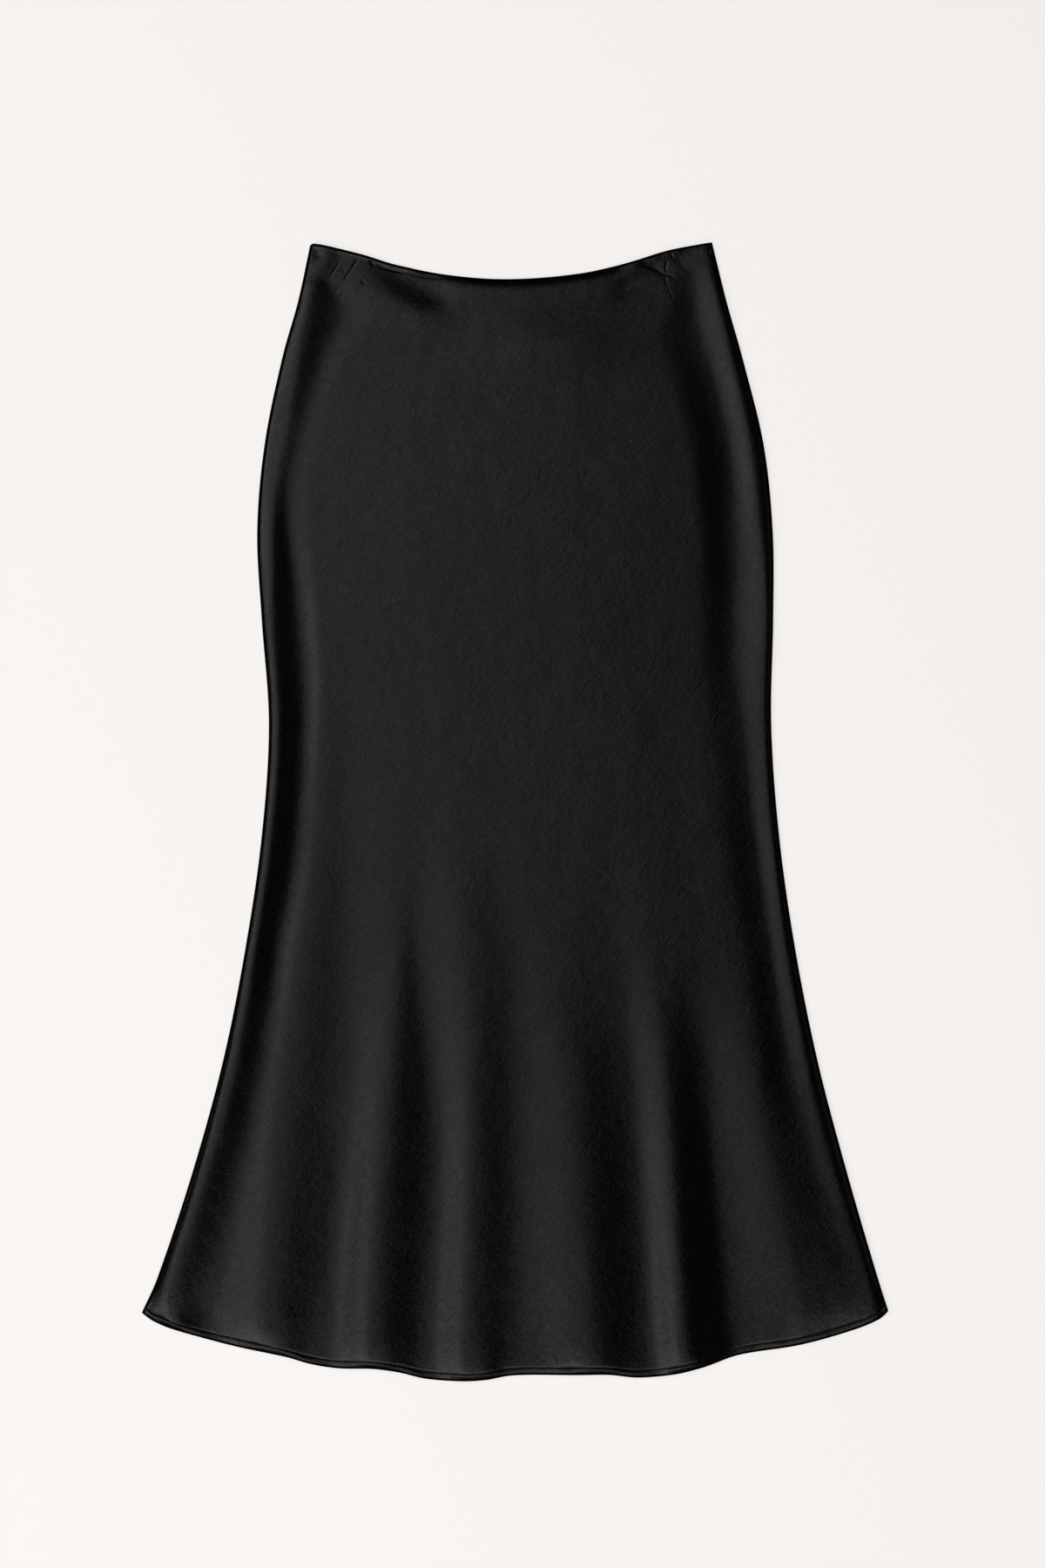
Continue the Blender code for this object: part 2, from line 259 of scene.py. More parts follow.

# ---------------------------------------------------------------- creases and puckers

# A crease runs from (x0, y0) to (x1, y1), bowed to its left by bow. height below 0 is a trough.
# fade is the share of its length over which each end dies away.
Crease = namedtuple("Crease", "x0 y0 x1 y1 bow width height fade")
FRONT_CREASES = [
    # the soft diagonal fold below the left of the waist, and the dark hollow inside the left roll
    Crease(-122, 449, -46, 408, 0, 16.0, -1.75, 0.32),
    Crease(-108, 441, -18, 393, 1, 16.0, -0.85, 0.50),
    Crease(-134, 428, -45, 383, 0, 13.5, 0.95, 0.38),
    # the corner's dent
    Crease(-159.5, 453.5, -158.5, 441.5, 0, 3.2, -1.1, 0.40),
    # the fold that runs down to the left from the right of the waist
    Crease(136, 441, 73, 411, -3, 7.5, -1.10, 0.30),
    Crease(124, 427, 70, 400, -3, 12.0, -0.20, 0.45),
    Crease(94, 441.5, 120, 433.5, 1.5, 4.0, -0.70, 0.40),
    Crease(124, 446, 140, 436, 0, 4.5, -0.45, 0.45),
    # broad swells of the level middle
    Crease(26, 412, 34, 340, 0, 52.0, 2.1, 0.50),
    Crease(-40, 385, 20, 330, 6, 30.0, 0.30, 0.50),
    Crease(38, 400, 74, 300, -8, 26.0, 0.35, 0.50),
    Crease(-110, 300, -60, 120, 10, 34.0, 0.25, 0.50),
    Crease(20, 160, -30, -30, 8, 38.0, -0.25, 0.50),
    # the bottom of the first hollow
    Crease(-141, -255, -147, -400, 0, 9.0, -0.45, 0.30),
    # the right roll's long faint crease
    Crease(187, 352, 193, 288, 1, 2.2, -0.22, 0.45),
    Crease(173, 300, 186, 170, -3, 9.0, 0.35, 0.50),
]
FINE_CREASES = [
    # pressed lines at the left of the waist
    Crease(-125.6, 445.0, -139.0, 424.5, 0.3, 0.95, -0.42, 0.22),
    Crease(-139.0, 424.5, -147.5, 413.0, 0.0, 1.00, -0.16, 0.45),
    Crease(-139.0, 444.6, -151.0, 426.5, 0.2, 0.90, -0.26, 0.30),
    Crease(-124.4, 427.2, -121.8, 422.6, 0.6, 1.20, -0.34, 0.40),
    Crease(-139.0, 435.5, -136.5, 430.5, 0.5, 1.10, -0.20, 0.40),
    # the turned edge's notch at the left, and the line of its turning
    Crease(-117.4, 444.2, -112.6, 437.6, -0.5, 1.05, -0.60, 0.30),
    Crease(-113.4, 438.9, -87.0, 432.4, -0.7, 0.95, -0.45, 0.25),
    Crease(-92.0, 433.3, -56.0, 427.8, -0.9, 1.00, -0.24, 0.40),
    # the notch at the right, with the creases that meet below it
    Crease(123.2, 448.8, 126.8, 444.2, 0.4, 1.00, -0.55, 0.30),
    Crease(121.6, 443.0, 119.9, 432.8, 0.3, 0.95, -0.42, 0.25),
    Crease(121.0, 431.0, 120.2, 422.6, 0.1, 0.90, -0.30, 0.35),
    Crease(122.2, 421.0, 127.4, 408.4, 0.3, 0.90, -0.14, 0.45),
    Crease(113.0, 432.6, 128.5, 429.2, 0.3, 0.90, -0.20, 0.40),
    Crease(121.0, 432.4, 132.5, 425.0, -0.4, 0.90, -0.14, 0.45),
    Crease(130.0, 438.0, 137.2, 428.6, 0.8, 1.00, 0.10, 0.45),
    Crease(98.4, 438.8, 119.8, 431.8, 1.6, 1.20, -0.30, 0.30),
    # a dimple by the right corner
    Crease(154.8, 451.6, 156.2, 446.6, 0.4, 0.95, -0.40, 0.35),
]
# The mesh is halved three times around the fine creases, each time within this reach of their lines.
FINE_REACHES = (5.2, 2.9, 1.7)

# A pucker stands just above the hem's stitches, at this x. height below 0 is a dimple.
Pucker = namedtuple("Pucker", "x width length height")
HEM_PUCKERS = [
    Pucker(-283, 9, 14, 0.35),
    Pucker(-247, 7, 16, -0.50),
    Pucker(-225, 12, 15, 0.50),
    Pucker(-196, 8, 12, 0.30),
    Pucker(-168, 8, 14, -0.45),
    Pucker(-150, 7, 9, 0.30),
    Pucker(-133, 6, 13, -0.50),
    Pucker(-120, 5, 9, 0.25),
    Pucker(-100, 6, 9, -0.35),
    Pucker(-78, 6, 11, -0.30),
    Pucker(-50, 9, 13, 0.45),
    Pucker(-28, 6, 10, 0.25),
    Pucker(-9, 7, 13, -0.45),
    Pucker(12, 8, 11, 0.30),
    Pucker(30, 6, 10, 0.25),
    Pucker(44, 5, 12, -0.55),
    Pucker(60, 7, 10, 0.25),
    Pucker(88, 8, 12, -0.30),
    Pucker(123, 9, 14, 0.50),
    Pucker(150, 8, 12, -0.35),
    Pucker(178, 7, 9, -0.35),
    Pucker(192, 6, 13, -0.45),
    Pucker(205, 7, 9, 0.35),
    Pucker(217, 5, 11, -0.40),
    Pucker(232, 10, 13, 0.45),
    Pucker(254, 6, 10, -0.45),
    Pucker(270, 9, 12, 0.35),
]

# The back lies level and lifts a little towards the hem under the front's largest flutes.
Lift = namedtuple("Lift", "x_top y_top x_hem width height")
BACK_LIFTS = [
    Lift(-182, -250, -205, 17, 1.6),
    Lift(-99, -170, -114, 20, 2.8),
    Lift(-38, -190, -36, 18, 2.6),
    Lift(46, -260, 56, 22, 1.8),
    Lift(118, -200, 142, 20, 3.0),
    Lift(190, -280, 226, 18, 1.5),
]
BACK_CREASES = [
    Crease(-70, 380, 10, 352, 5, 9.0, 0.35, 0.45),
    Crease(96, 402, 60, 340, -4, 8.0, 0.30, 0.45),
    Crease(-150, 250, -120, 60, 6, 10.0, 0.35, 0.50),
    Crease(150, 210, 128, 40, -5, 11.0, 0.30, 0.50),
    Crease(-10, 90, 30, -90, 8, 12.0, 0.30, 0.50),
    Crease(-118, 424, -96, 404, 0.5, 2.0, 0.25, 0.40),
    Crease(110, 428, 118, 404, 0.4, 2.0, 0.22, 0.40),
]


# ---------------------------------------------------------------- shapes


def smooth(rows, at, column, value):
    """The named column of a table at many positions, on a smooth cubic through its rows."""
    rows = sorted(rows, key=lambda row: getattr(row, column))
    places = np.array([getattr(row, column) for row in rows], float)
    values = np.array([getattr(row, value) for row in rows], float)
    at = np.clip(at, places[0], places[-1])
    order = np.arange(len(rows))
    before, after = np.maximum(order - 1, 0), np.minimum(order + 1, len(rows) - 1)
    slopes = (values[after] - values[before]) / (places[after] - places[before])
    k = np.clip(np.searchsorted(places, at, side="right") - 1, 0, len(rows) - 2)
    width = places[k + 1] - places[k]
    t = (at - places[k]) / width
    return (
        values[k] * (2 * t**3 - 3 * t**2 + 1)
        + values[k + 1] * (3 * t**2 - 2 * t**3)
        + slopes[k] * width * (t**3 - 2 * t**2 + t)
        + slopes[k + 1] * width * (t**3 - t**2)
    )


def ease(t):
    t = np.clip(t, 0.0, 1.0)
    return t * t * (3 - 2 * t)


def rounded(distance, breadth):
    """1 at an edge, falling to 0 at this breadth from it along a quarter circle."""
    return 1 - np.sqrt(1 - (1 - np.clip(distance / breadth, 0, 1)) ** 2)


def at_stitches(x):
    """1 where one stitch meets the next and 0 halfway along a stitch."""
    return 0.5 + 0.5 * np.cos(2 * np.pi * (x - STITCH_START) / PITCH)


def sides(y):
    return -smooth(SIDES, y, "y", "left") - SIDE_ROUND, smooth(SIDES, y, "y", "right") + SIDE_ROUND


def edges(x, y):
    """y of the waist edge and of the hem edge on the column through each point."""
    left, right = sides(y)
    share = (x - left) / (right - left)
    return smooth(WAIST_EDGE, share, "share", "y"), smooth(HEM_EDGE, share, "share", "y")


def fold_lines(y):
    """x and height of every crest and hollow of the front at each y, one row of the result for each line."""
    left, right = sides(y)
    roll = {name: smooth(ROLLS, y, "y", name) for name in Roll._fields[1:]}
    shoulder = {name: smooth(SHOULDERS, y, "y", name) for name in Shoulder._fields[1:]}
    torso = ease((y - KNEE) / (SHOULDERS[-1].y - KNEE))
    xs, zs = [], []
    for fold in FOLDS:
        levels = [
            Level(HEM, fold.x_hem, fold.z_hem),
            Level(SHIN, fold.x_shin, fold.z_shin),
            Level(CALF, fold.x_calf, fold.z_calf),
            Level(KNEE, fold.x_knee, fold.z_knee),
        ]
        xs.append(smooth(levels, y, "y", "x"))
        zs.append(smooth(levels, y, "y", "z"))
    first, last = xs[0].copy(), xs[-1].copy()
    start = first + (left + shoulder["left_inset"] - first) * torso
    end = last + (right - shoulder["right_inset"] - last) * torso
    for number in range(len(FOLDS)):
        share = (xs[number] - first) / (last - first)
        xs[number] = start + share * (end - start)
        level = shoulder["left_height"] + share * (shoulder["right_height"] - shoulder["left_height"])
        zs[number] = zs[number] + (level - zs[number]) * torso
    xs = [left + roll["left_crest"], left + roll["left_hollow"], *xs]
    zs = [roll["left_height"], roll["left_low"], *zs]
    xs += [right - roll["right_hollow"], right - roll["right_crest"]]
    zs += [roll["right_low"], roll["right_height"]]
    return np.array(xs), np.array(zs)


def creased(creases, x, y):
    """The height that these creases add at each point."""
    total = np.zeros_like(x)
    for crease in creases:
        along = np.array([crease.x1 - crease.x0, crease.y1 - crease.y0], float)
        length = np.hypot(*along)
        along /= length
        dx, dy = x - crease.x0, y - crease.y0
        t = (dx * along[0] + dy * along[1]) / length
        across = -dx * along[1] + dy * along[0] - crease.bow * 4 * t * (1 - t)
        reach = ease(t / crease.fade) * ease((1 - t) / crease.fade)
        total += crease.height * reach * np.exp(-((across / crease.width) ** 2))
    return total


def near(creases, x, y, reach):
    """True at the points that lie within reach of a crease's line."""
    close = np.zeros(len(x), bool)
    for crease in creases:
        along = np.array([crease.x1 - crease.x0, crease.y1 - crease.y0], float)
        dx, dy = x - crease.x0, y - crease.y0
        t = np.clip((dx * along[0] + dy * along[1]) / (along @ along), 0, 1)
        close |= np.hypot(dx - t * along[0], dy - t * along[1]) < reach + abs(crease.bow)
    return close


def puckered(x, y):
    """The height that the puckers add above the hem's stitches."""
    _, hem = edges(x, y)
    up = y - hem - HEM_TURN
    total = np.zeros_like(x)
    for pucker in HEM_PUCKERS:
        fall = np.exp(-np.maximum(up, 0) / pucker.length * 1.2)
        total += pucker.height * fall * np.exp(-(((x - pucker.x) / pucker.width) ** 2))
    total = total - PANEL_DIP * at_stitches(x) ** 2 * np.exp(-((up / 1.0) ** 2)) * (up >= 0)
    return total * ease(up / 3.0 + 1.0)


def front_height(x, y):
    """The front's outer face."""
    left, right = sides(y)
    xs, zs = fold_lines(y)
    z = zs[0].copy()
    for k in range(len(xs) - 1):
        inside = (x >= xs[k]) & (x < xs[k + 1])
        t = np.clip((x - xs[k]) / (xs[k + 1] - xs[k]), 0, 1)
        if k == 0:
            t = t**ROLL_LEAN
        if k == len(xs) - 2:
            t = 1 - (1 - t) ** ROLL_LEAN
        z = np.where(inside, zs[k] + (zs[k + 1] - zs[k]) * (1 - np.cos(np.pi * t)) / 2, z)
    flank = {name: smooth(FLANKS, y, "y", name) for name in Flank._fields[1:]}
    for side, crest_x, crest_z, beyond, breadth, share, bend in (
        (left, xs[0], zs[0], x < xs[0], flank["left_breadth"], flank["left_share"], LEFT_BEND),
        (right, xs[-1], zs[-1], x >= xs[-1], flank["right_breadth"], flank["right_share"], RIGHT_BEND),
    ):
        tight = np.clip(abs(x - side) / breadth, 0, 1)
        u = np.clip((x - side) / (crest_x - side), 0, 1)
        climbed = share * np.sqrt(1 - (1 - tight) ** 2) + (1 - share) * (1 - (1 - u) ** bend)
        z = np.where(beyond, SEAM_TOP + (crest_z - SEAM_TOP) * climbed, z)
    inset = np.minimum(x - left, right - x)
    inside = ease(inset / EDGE_FADE)
    z = z + creased(FRONT_CREASES, x, y) * inside
    waist, hem = edges(x, y)
    pressed = 1 - ease((waist - y) / WAIST_SETTLE)
    z = z + (np.minimum(z, WAIST_HEIGHT) - z) * pressed * inside
    eased = HEM_SETTLE_SHARE * (1 - ease((y - hem) / HEM_SETTLE))
    z = z + (np.minimum(z, HEM_HEIGHT) - z) * eased * inside
    z = z + (creased(FINE_CREASES, x, y) + puckered(x, y)) * inside
    # the seam's groove, the turned waist edge, and the fall towards the hem's stitches
    z = z - GROOVE_DEPTH * np.exp(-((inset / GROOVE_WIDTH) ** 2))
    begins, full, full_still, ended = WAIST_MIDDLE
    middle = ease((x - begins) / (full - begins)) * ease((ended - x) / (ended - full_still))
    z = z - WAIST_FALL * middle * np.clip(1 - (waist - y) / WAIST_ROUND, 0, 1) ** 2 * inside
    lip = WAIST_LIP.height * np.exp(-(((waist - y - WAIST_LIP.below) / WAIST_LIP.width) ** 2))
    z = z + lip * (1 - middle) * inside
    z = z - WAIST_DROP * rounded(waist - y, WAIST_ROLLOVER)
    up = y - hem - HEM_TURN
    share, reach = (smooth(HEM_FALLS, x, "x", name) for name in ("share", "reach"))
    z = z - share * (z - HEM_LOW) * np.exp(-np.maximum(up, 0) / reach) * inside
    z = z - 0.15 * np.exp(-((up / 0.8) ** 2))
    # kept clear of the back, which lies below
    clear = z - LEAST_HEIGHT
    return LEAST_HEIGHT + (clear + np.sqrt(clear**2 + 0.09)) / 2


def back_height(x, y):
    """The back's outer face, underneath: level where it rests, turned up at the sides."""
    left, right = sides(y)
    inset = np.minimum(x - left, right - x)
    z = SEAM_BOTTOM * rounded(inset, BACK_ROUND)
    waist, hem = edges(x, y)
    lifted = np.zeros_like(x)
    for lift in BACK_LIFTS:
        t = (lift.y_top - y) / (lift.y_top - HEM)
        middle = lift.x_top + (lift.x_hem - lift.x_top) * t
        width = lift.width * (0.6 + 0.4 * np.clip(t, 0, 1))
        lifted += lift.height * ease(t) * np.exp(-(((x - middle) / width) ** 2))
    lifted += np.maximum(creased(BACK_CREASES, x, y), 0)
    z = z + lifted * ease(inset / 14.0)
    z = z + 0.30 * np.exp(-(((y - hem - HEM_TURN) / 0.9) ** 2))
    return z + BACK_DROP * rounded(waist - y, WAIST_ROLLOVER)


# ---------------------------------------------------------------- meshes


def placed(name, data):
    """A new object in the scene."""
    piece = bpy.data.objects.new(name, data)
    bpy.context.scene.collection.objects.link(piece)
    return piece


def spaced(fine, growth, step, length):
    """Distances from an edge, fine first and growing up to step, as far as length."""
    places = [0.0]
    while places[-1] < length:
        places.append(places[-1] + fine)
        fine = min(fine * growth, step)
    return places


def columns(fine, growth, step, reach, middle):
    """(left inset, share, right inset) for each column: fine at both sides, the middle in equal shares."""
    side = spaced(fine, growth, step, reach)[:-1] + [reach]
    inner = [k / middle for k in range(1, middle)]
    left = [(d, 0.0, d) for d in side]
    between = [(reach, u, reach) for u in inner]
    right = [(reach, 1.0, d) for d in reversed(side)]
    return left + between + right


def in_painted_edge_band(x, y):
    """True in the outer edge band at the sides, the waist and the hem, which gets the painted edge shade."""
    left, right = sides(y)
    waist, hem = edges(x, y)
    outer = np.minimum(np.minimum(x - left, right - x), y - hem) < EDGE_BAND
    return outer | (waist - y < WAIST_BAND)


def shell(name, outer, cols, rows, facing_up, materials, fine_creases=(), edge_inset=0.0):
    """A closed sheet of cloth, whose outer face has the height that outer gives.

    A column is (left inset, share, right inset), and a row (from waist, from hem, share).
    """
    grid = bmesh.new()
    across, down = len(cols) - 1, len(rows) - 1
    bmesh.ops.create_grid(grid, x_segments=across, y_segments=down, size=0.5)
    for vertex in grid.verts:
        vertex.co = ((vertex.co.x + 0.5) * across, (0.5 - vertex.co.y) * down, 0)

    def world(points):
        """x and y of grid positions, which may lie between the grid's lines."""
        c, r = points[:, 0], points[:, 1]
        insets, levels = np.array(cols), np.array(rows)
        column, line = np.arange(len(cols)), np.arange(len(rows))
        inset_left, share, inset_right = (np.interp(c, column, insets[:, i]) for i in range(3))
        from_waist, from_hem, t = (np.interp(r, line, levels[:, i]) for i in range(3))
        y = 450 - 890 * t  # near enough to start from
        for _ in range(REPEATS):
            left, right = sides(y)
            x = left + inset_left + share * (right - left - inset_left - inset_right)
            # a column keeps its own edges, so that each row runs smoothly across
            waist, hem = edges(x, y)
            y = (waist - from_waist - edge_inset) * (1 - t) + (hem + from_hem + edge_inset) * t
        return x, y

    def positions():
        return np.array([vertex.co[:] for vertex in grid.verts])

    for reach in FINE_REACHES if fine_creases else ():
        grid.faces.ensure_lookup_table()
        centres = np.array([face.calc_center_median()[:] for face in grid.faces])
        close = near(fine_creases, *world(centres), reach)
        chosen = {edge: None for face, yes in zip(grid.faces, close) if yes for edge in face.edges}
        bmesh.ops.subdivide_edges(grid, edges=list(chosen), cuts=1, use_grid_fill=True)
    if not facing_up:
        bmesh.ops.reverse_faces(grid, faces=grid.faces[:])
    grid.faces.ensure_lookup_table()
    centres = np.array([face.calc_center_median()[:] for face in grid.faces])
    # material 2 is the near-black matt satin: painted shade along the outer edge
    for face, pressed in zip(grid.faces, in_painted_edge_band(*world(centres))):
        face.material_index = 2 if pressed else 0
    x, y = world(positions())
    z = outer(x, y)
    for vertex, px, py, pz in zip(grid.verts, x, y, z):
        vertex.co = (px * MM, py * MM, pz * MM)
    mesh = bpy.data.meshes.new(name)
    grid.to_mesh(mesh)
    grid.free()
    mesh.shade_smooth()
    piece = placed(name, mesh)
    for material in materials:
        mesh.materials.append(material)
    thick = piece.modifiers.new("cloth wall", "SOLIDIFY")
    thick.thickness = CLOTH * MM
    thick.offset = -1
    thick.material_offset = 1
    thick.material_offset_rim = 0
    return piece


# ---------------------------------------------------------------- materials


def node(tree, kind, **inputs):
    made = tree.nodes.new(kind)
    for name, value in inputs.items():
        made.inputs[name.replace("_", " ")].default_value = value
    return made


def satin(name, base, roughness, specular, stroke):
    """Satin cut on the bias: fine floats along both diagonals, and soft mottling from the cloth's lie."""
    material = bpy.data.materials.new(name)
    material.use_nodes = True
    tree = material.node_tree
    shader = tree.nodes["Principled BSDF"]
    shader.inputs["Base Color"].default_value = (*base, 1.0)
    where = tree.nodes.new("ShaderNodeTexCoord")

    def streaks(angle, along, across):
        turned = node(tree, "ShaderNodeMapping", Rotation=(0, 0, angle))
        scaled = node(tree, "ShaderNodeMapping", Scale=(1 / along, 1 / across, 1 / across))
        noise = node(tree, "ShaderNodeTexNoise", Scale=1.0, Detail=2.0, Roughness=0.6, Distortion=1.1)
        tree.links.new(where.outputs["Object"], turned.inputs["Vector"])
        tree.links.new(turned.outputs["Vector"], scaled.inputs["Vector"])
        tree.links.new(scaled.outputs["Vector"], noise.inputs["Vector"])
        return noise

    rising = streaks(-math.pi / 4, 0.0060, 0.0017)
    falling = streaks(math.pi / 4, 0.0050, 0.0016)
    both = tree.nodes.new("ShaderNodeMath")
    both.operation = "MULTIPLY_ADD"
    both.inputs[1].default_value = 0.70
    tree.links.new(falling.outputs["Fac"], both.inputs[0])
    tree.links.new(rising.outputs["Fac"], both.inputs[2])
    mottle = node(tree, "ShaderNodeTexNoise", Scale=24.0, Detail=3.0, Roughness=0.58)
    tree.links.new(where.outputs["Object"], mottle.inputs["Vector"])
    broad = node(tree, "ShaderNodeBump", Strength=0.5, Distance=0.0014)
    tree.links.new(mottle.outputs["Fac"], broad.inputs["Height"])
    fine = node(tree, "ShaderNodeBump", Strength=stroke, Distance=0.0003)
    tree.links.new(both.outputs[0], fine.inputs["Height"])
    tree.links.new(broad.outputs["Normal"], fine.inputs["Normal"])
    tree.links.new(fine.outputs["Normal"], shader.inputs["Normal"])
    sheen = node(tree, "ShaderNodeMapRange")
    sheen.inputs["From Min"].default_value = 0.35
    sheen.inputs["From Max"].default_value = 1.35
    sheen.inputs["To Min"].default_value = specular * 0.55
    sheen.inputs["To Max"].default_value = specular * 1.45
    tree.links.new(both.outputs[0], sheen.inputs["Value"])
    tree.links.new(sheen.outputs["Result"], shader.inputs["Specular IOR Level"])
    rough = node(tree, "ShaderNodeMapRange")
    rough.inputs["To Min"].default_value = roughness - 0.04
    rough.inputs["To Max"].default_value = roughness + 0.04
    tree.links.new(rising.outputs["Fac"], rough.inputs["Value"])
    tree.links.new(rough.outputs["Result"], shader.inputs["Roughness"])
    return material


def thread():
    """Matt black polyester thread, with its twist."""
    material = bpy.data.materials.new("hem_thread")
    material.use_nodes = True
    tree = material.node_tree
    shader = tree.nodes["Principled BSDF"]
    shader.inputs["Base Color"].default_value = (0.0012, 0.0012, 0.0012, 1.0)
    shader.inputs["Roughness"].default_value = 0.7
    shader.inputs["Specular IOR Level"].default_value = 0.15
    where = tree.nodes.new("ShaderNodeTexCoord")
    twist = node(tree, "ShaderNodeTexNoise", Scale=2500.0, Detail=1.0)
    bump = node(tree, "ShaderNodeBump", Strength=0.4, Distance=0.00005)
    tree.links.new(where.outputs["Object"], twist.inputs["Vector"])
    tree.links.new(twist.outputs["Fac"], bump.inputs["Height"])
    tree.links.new(bump.outputs["Normal"], shader.inputs["Normal"])
    return material


# ---------------------------------------------------------------- pieces


def row(from_waist=0.0, from_hem=0.0, share=0.0):
    return (from_waist, from_hem, share)


def panel_rows(middle):
    """Rows from the waist edge to the hem's stitches, finer at both."""
    top = [row(from_waist=d) for d in spaced(0.25, 1.28, 3.2, 40.0)]
    bottom = [row(from_hem=HEM_TURN + d, share=1.0) for d in spaced(0.35, 1.30, 3.4, 40.0)]
    first, last = top[-1], bottom[-1]
    between = []
    for k in range(1, middle):
        t = k / middle
        between.append(tuple(a + (b - a) * t for a, b in zip(first, last)))
    return top + between + bottom[::-1]


def hem_rows(count):
    """Rows of the turned hem, from its stitches to its edge."""
    rows = [row(from_hem=HEM_TURN * (1 - k / count), share=1.0) for k in range(count)]
    return rows + [row(from_hem=d, share=1.0) for d in (0.5, 0.25, 0.1, 0.0)]


def front_hem_height(x, y):
    """The hem's band: dipped at each stitch, full below them and rounded over at the edge."""
    _, hem = edges(x, y)
    up = y - hem
    z = front_height(x, y)
    z = z - BAND_DIP * at_stitches(x) ** 2 * np.exp(-(((up - HEM_TURN) / 0.9) ** 2))
    down = np.clip(1 - up / HEM_TURN, 0, 1)
    z = z + 0.35 * np.sin(np.pi / 2 * np.clip(down * 4, 0, 1)) - BAND_FALL * (z - HEM_LOW) * down**2
    return z - HEM_DROP * rounded(up, 1.0)


def back_hem_height(x, y):
    _, hem = edges(x, y)
    up = y - hem - BACK_SHORTER
    z = back_height(x, y)
    z = z + 0.25 * (1 - np.sin(np.pi * np.clip(up / HEM_TURN, 0, 1)) ** 0.8)
    return z + BACK_DROP * rounded(up, 1.3)



def stitches(name, outer, edge_inset, side, material):
    """The hem's row of stitches as one joined mesh of short round-ended threads."""
    count = int(-2 * STITCH_START / PITCH)
    x = STITCH_START + PITCH * (np.arange(count) + 0.5)
    y = np.full(count, float(HEM))
    for _ in range(REPEATS):
        _, hem = edges(x, y)
        y = hem + HEM_TURN + edge_inset
    made = bmesh.new()
    stations = np.array([-1.0, -0.75, 0.0, 0.75, 1.0])
    radii = np.array([0.25, 0.85, 1.0, 0.85, 0.25]) * THREAD_RADIUS
    for k in range(count):
        # neighbours differ a little in length and place
        half = PITCH * (0.33 + 0.03 * math.sin(k * 2.4))
        px = x[k] + stations * half
        py = np.interp(px, x, y) + 0.08 * math.sin(k * 1.7)
        pz = outer(px, py) + side * (STITCH_LIFT - STITCH_SINK * stations**2)
        rings = []
        for i in range(len(stations)):
            ring = []
            for j in range(THREAD_SIDES):
                angle = j * math.pi * 2 / THREAD_SIDES
                ring_y = py[i] + radii[i] * math.cos(angle)
                ring_z = pz[i] + radii[i] * math.sin(angle)
                ring.append(made.verts.new((px[i] * MM, ring_y * MM, ring_z * MM)))
            rings.append(ring)
        for low, high in zip(rings, rings[1:]):
            for j in range(THREAD_SIDES):
                after = (j + 1) % THREAD_SIDES
                made.faces.new((low[j], low[after], high[after], high[j]))
        made.faces.new(rings[0][::-1])
        made.faces.new(rings[-1])
    bmesh.ops.recalc_face_normals(made, faces=made.faces[:])
    mesh = bpy.data.meshes.new(name)
    made.to_mesh(mesh)
    made.free()
    mesh.shade_smooth()
    mesh.materials.append(material)
    return placed(name, mesh)


face = satin("black_satin", (0.0012, 0.00116, 0.00112), 0.20, 0.30, 0.60)
reverse = satin("satin_reverse", (0.0045, 0.0043, 0.0041), 0.62, 0.20, 0.25)
# painted shade: a near-black matt satin with almost no reflection, laid on the outer edge band as a dark
# outline
painted_edge_shade = satin("satin_pressed_edge", (0.0006, 0.0006, 0.0006), 0.85, 0.02, 0.25)
cloths = (face, reverse, painted_edge_shade)
black_thread = thread()

front_columns = columns(0.30, 1.28, 3.0, 22.0, 115)
back_columns = columns(0.40, 1.35, 4.0, 20.0, 84)
hem_columns = columns(0.30, 1.15, 0.62, 8.0, 880)

front = shell("skirt_front", front_height, front_columns, panel_rows(140), True, cloths, FINE_CREASES)
front_hem = shell("skirt_front_hem", front_hem_height, hem_columns, hem_rows(9), True, cloths)
back = shell("skirt_back", back_height, back_columns, panel_rows(130), False, cloths, edge_inset=BACK_SHORTER)
back_hem = shell(
    "skirt_back_hem", back_hem_height, hem_columns, hem_rows(7), False, cloths, edge_inset=BACK_SHORTER
)
front_stitches = stitches("front_hem_stitches", front_hem_height, 0.0, 1, black_thread)
back_stitches = stitches("back_hem_stitches", back_hem_height, BACK_SHORTER, -1, black_thread)

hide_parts("front_panel", "front_waist_edge")
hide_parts("front_hem")
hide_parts("back_panel", "back_waist_edge")
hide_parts("back_hem")
pieces = [front, front_hem, back, back_hem, front_stitches, back_stitches]
for piece in pieces:
    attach(piece, "root")

# ---------------------------------------------------------------- floor, light and camera, in metres

FLOOR_HALF, FLOOR_DROP = 40.0, 0.0004
LAMP_COLOUR = (1.0, 0.985, 0.97)
BANK_HEIGHT = 2.9
CAMERA_HEIGHT = 2.5
VIEW_CENTRE = (0.0057, 0.0222)
VIEW_HEIGHT = 1.26  # of the floor, from the top of the picture to its bottom
SENSOR = 36.0  # millimetres, as Blender has it


def floor():
    mesh = bpy.data.meshes.new("floor")
    corners = [(FLOOR_HALF * x, FLOOR_HALF * y, 0) for x, y in ((-1, -1), (1, -1), (1, 1), (-1, 1))]
    mesh.from_pydata(corners, [], [(0, 1, 2, 3)])
    piece = placed("floor", mesh)
    piece.location.z = -FLOOR_DROP
    material = bpy.data.materials.new("pale_floor")
    material.use_nodes = True
    shader = material.node_tree.nodes["Principled BSDF"]
    shader.inputs["Base Color"].default_value = (0.42, 0.41, 0.40, 1.0)
    shader.inputs["Roughness"].default_value = 0.9
    shader.inputs["Specular IOR Level"].default_value = 0.1
    shader.inputs["Emission Color"].default_value = (1.0, 0.975, 0.955, 1.0)
    shader.inputs["Emission Strength"].default_value = 0.715
    mesh.materials.append(material)


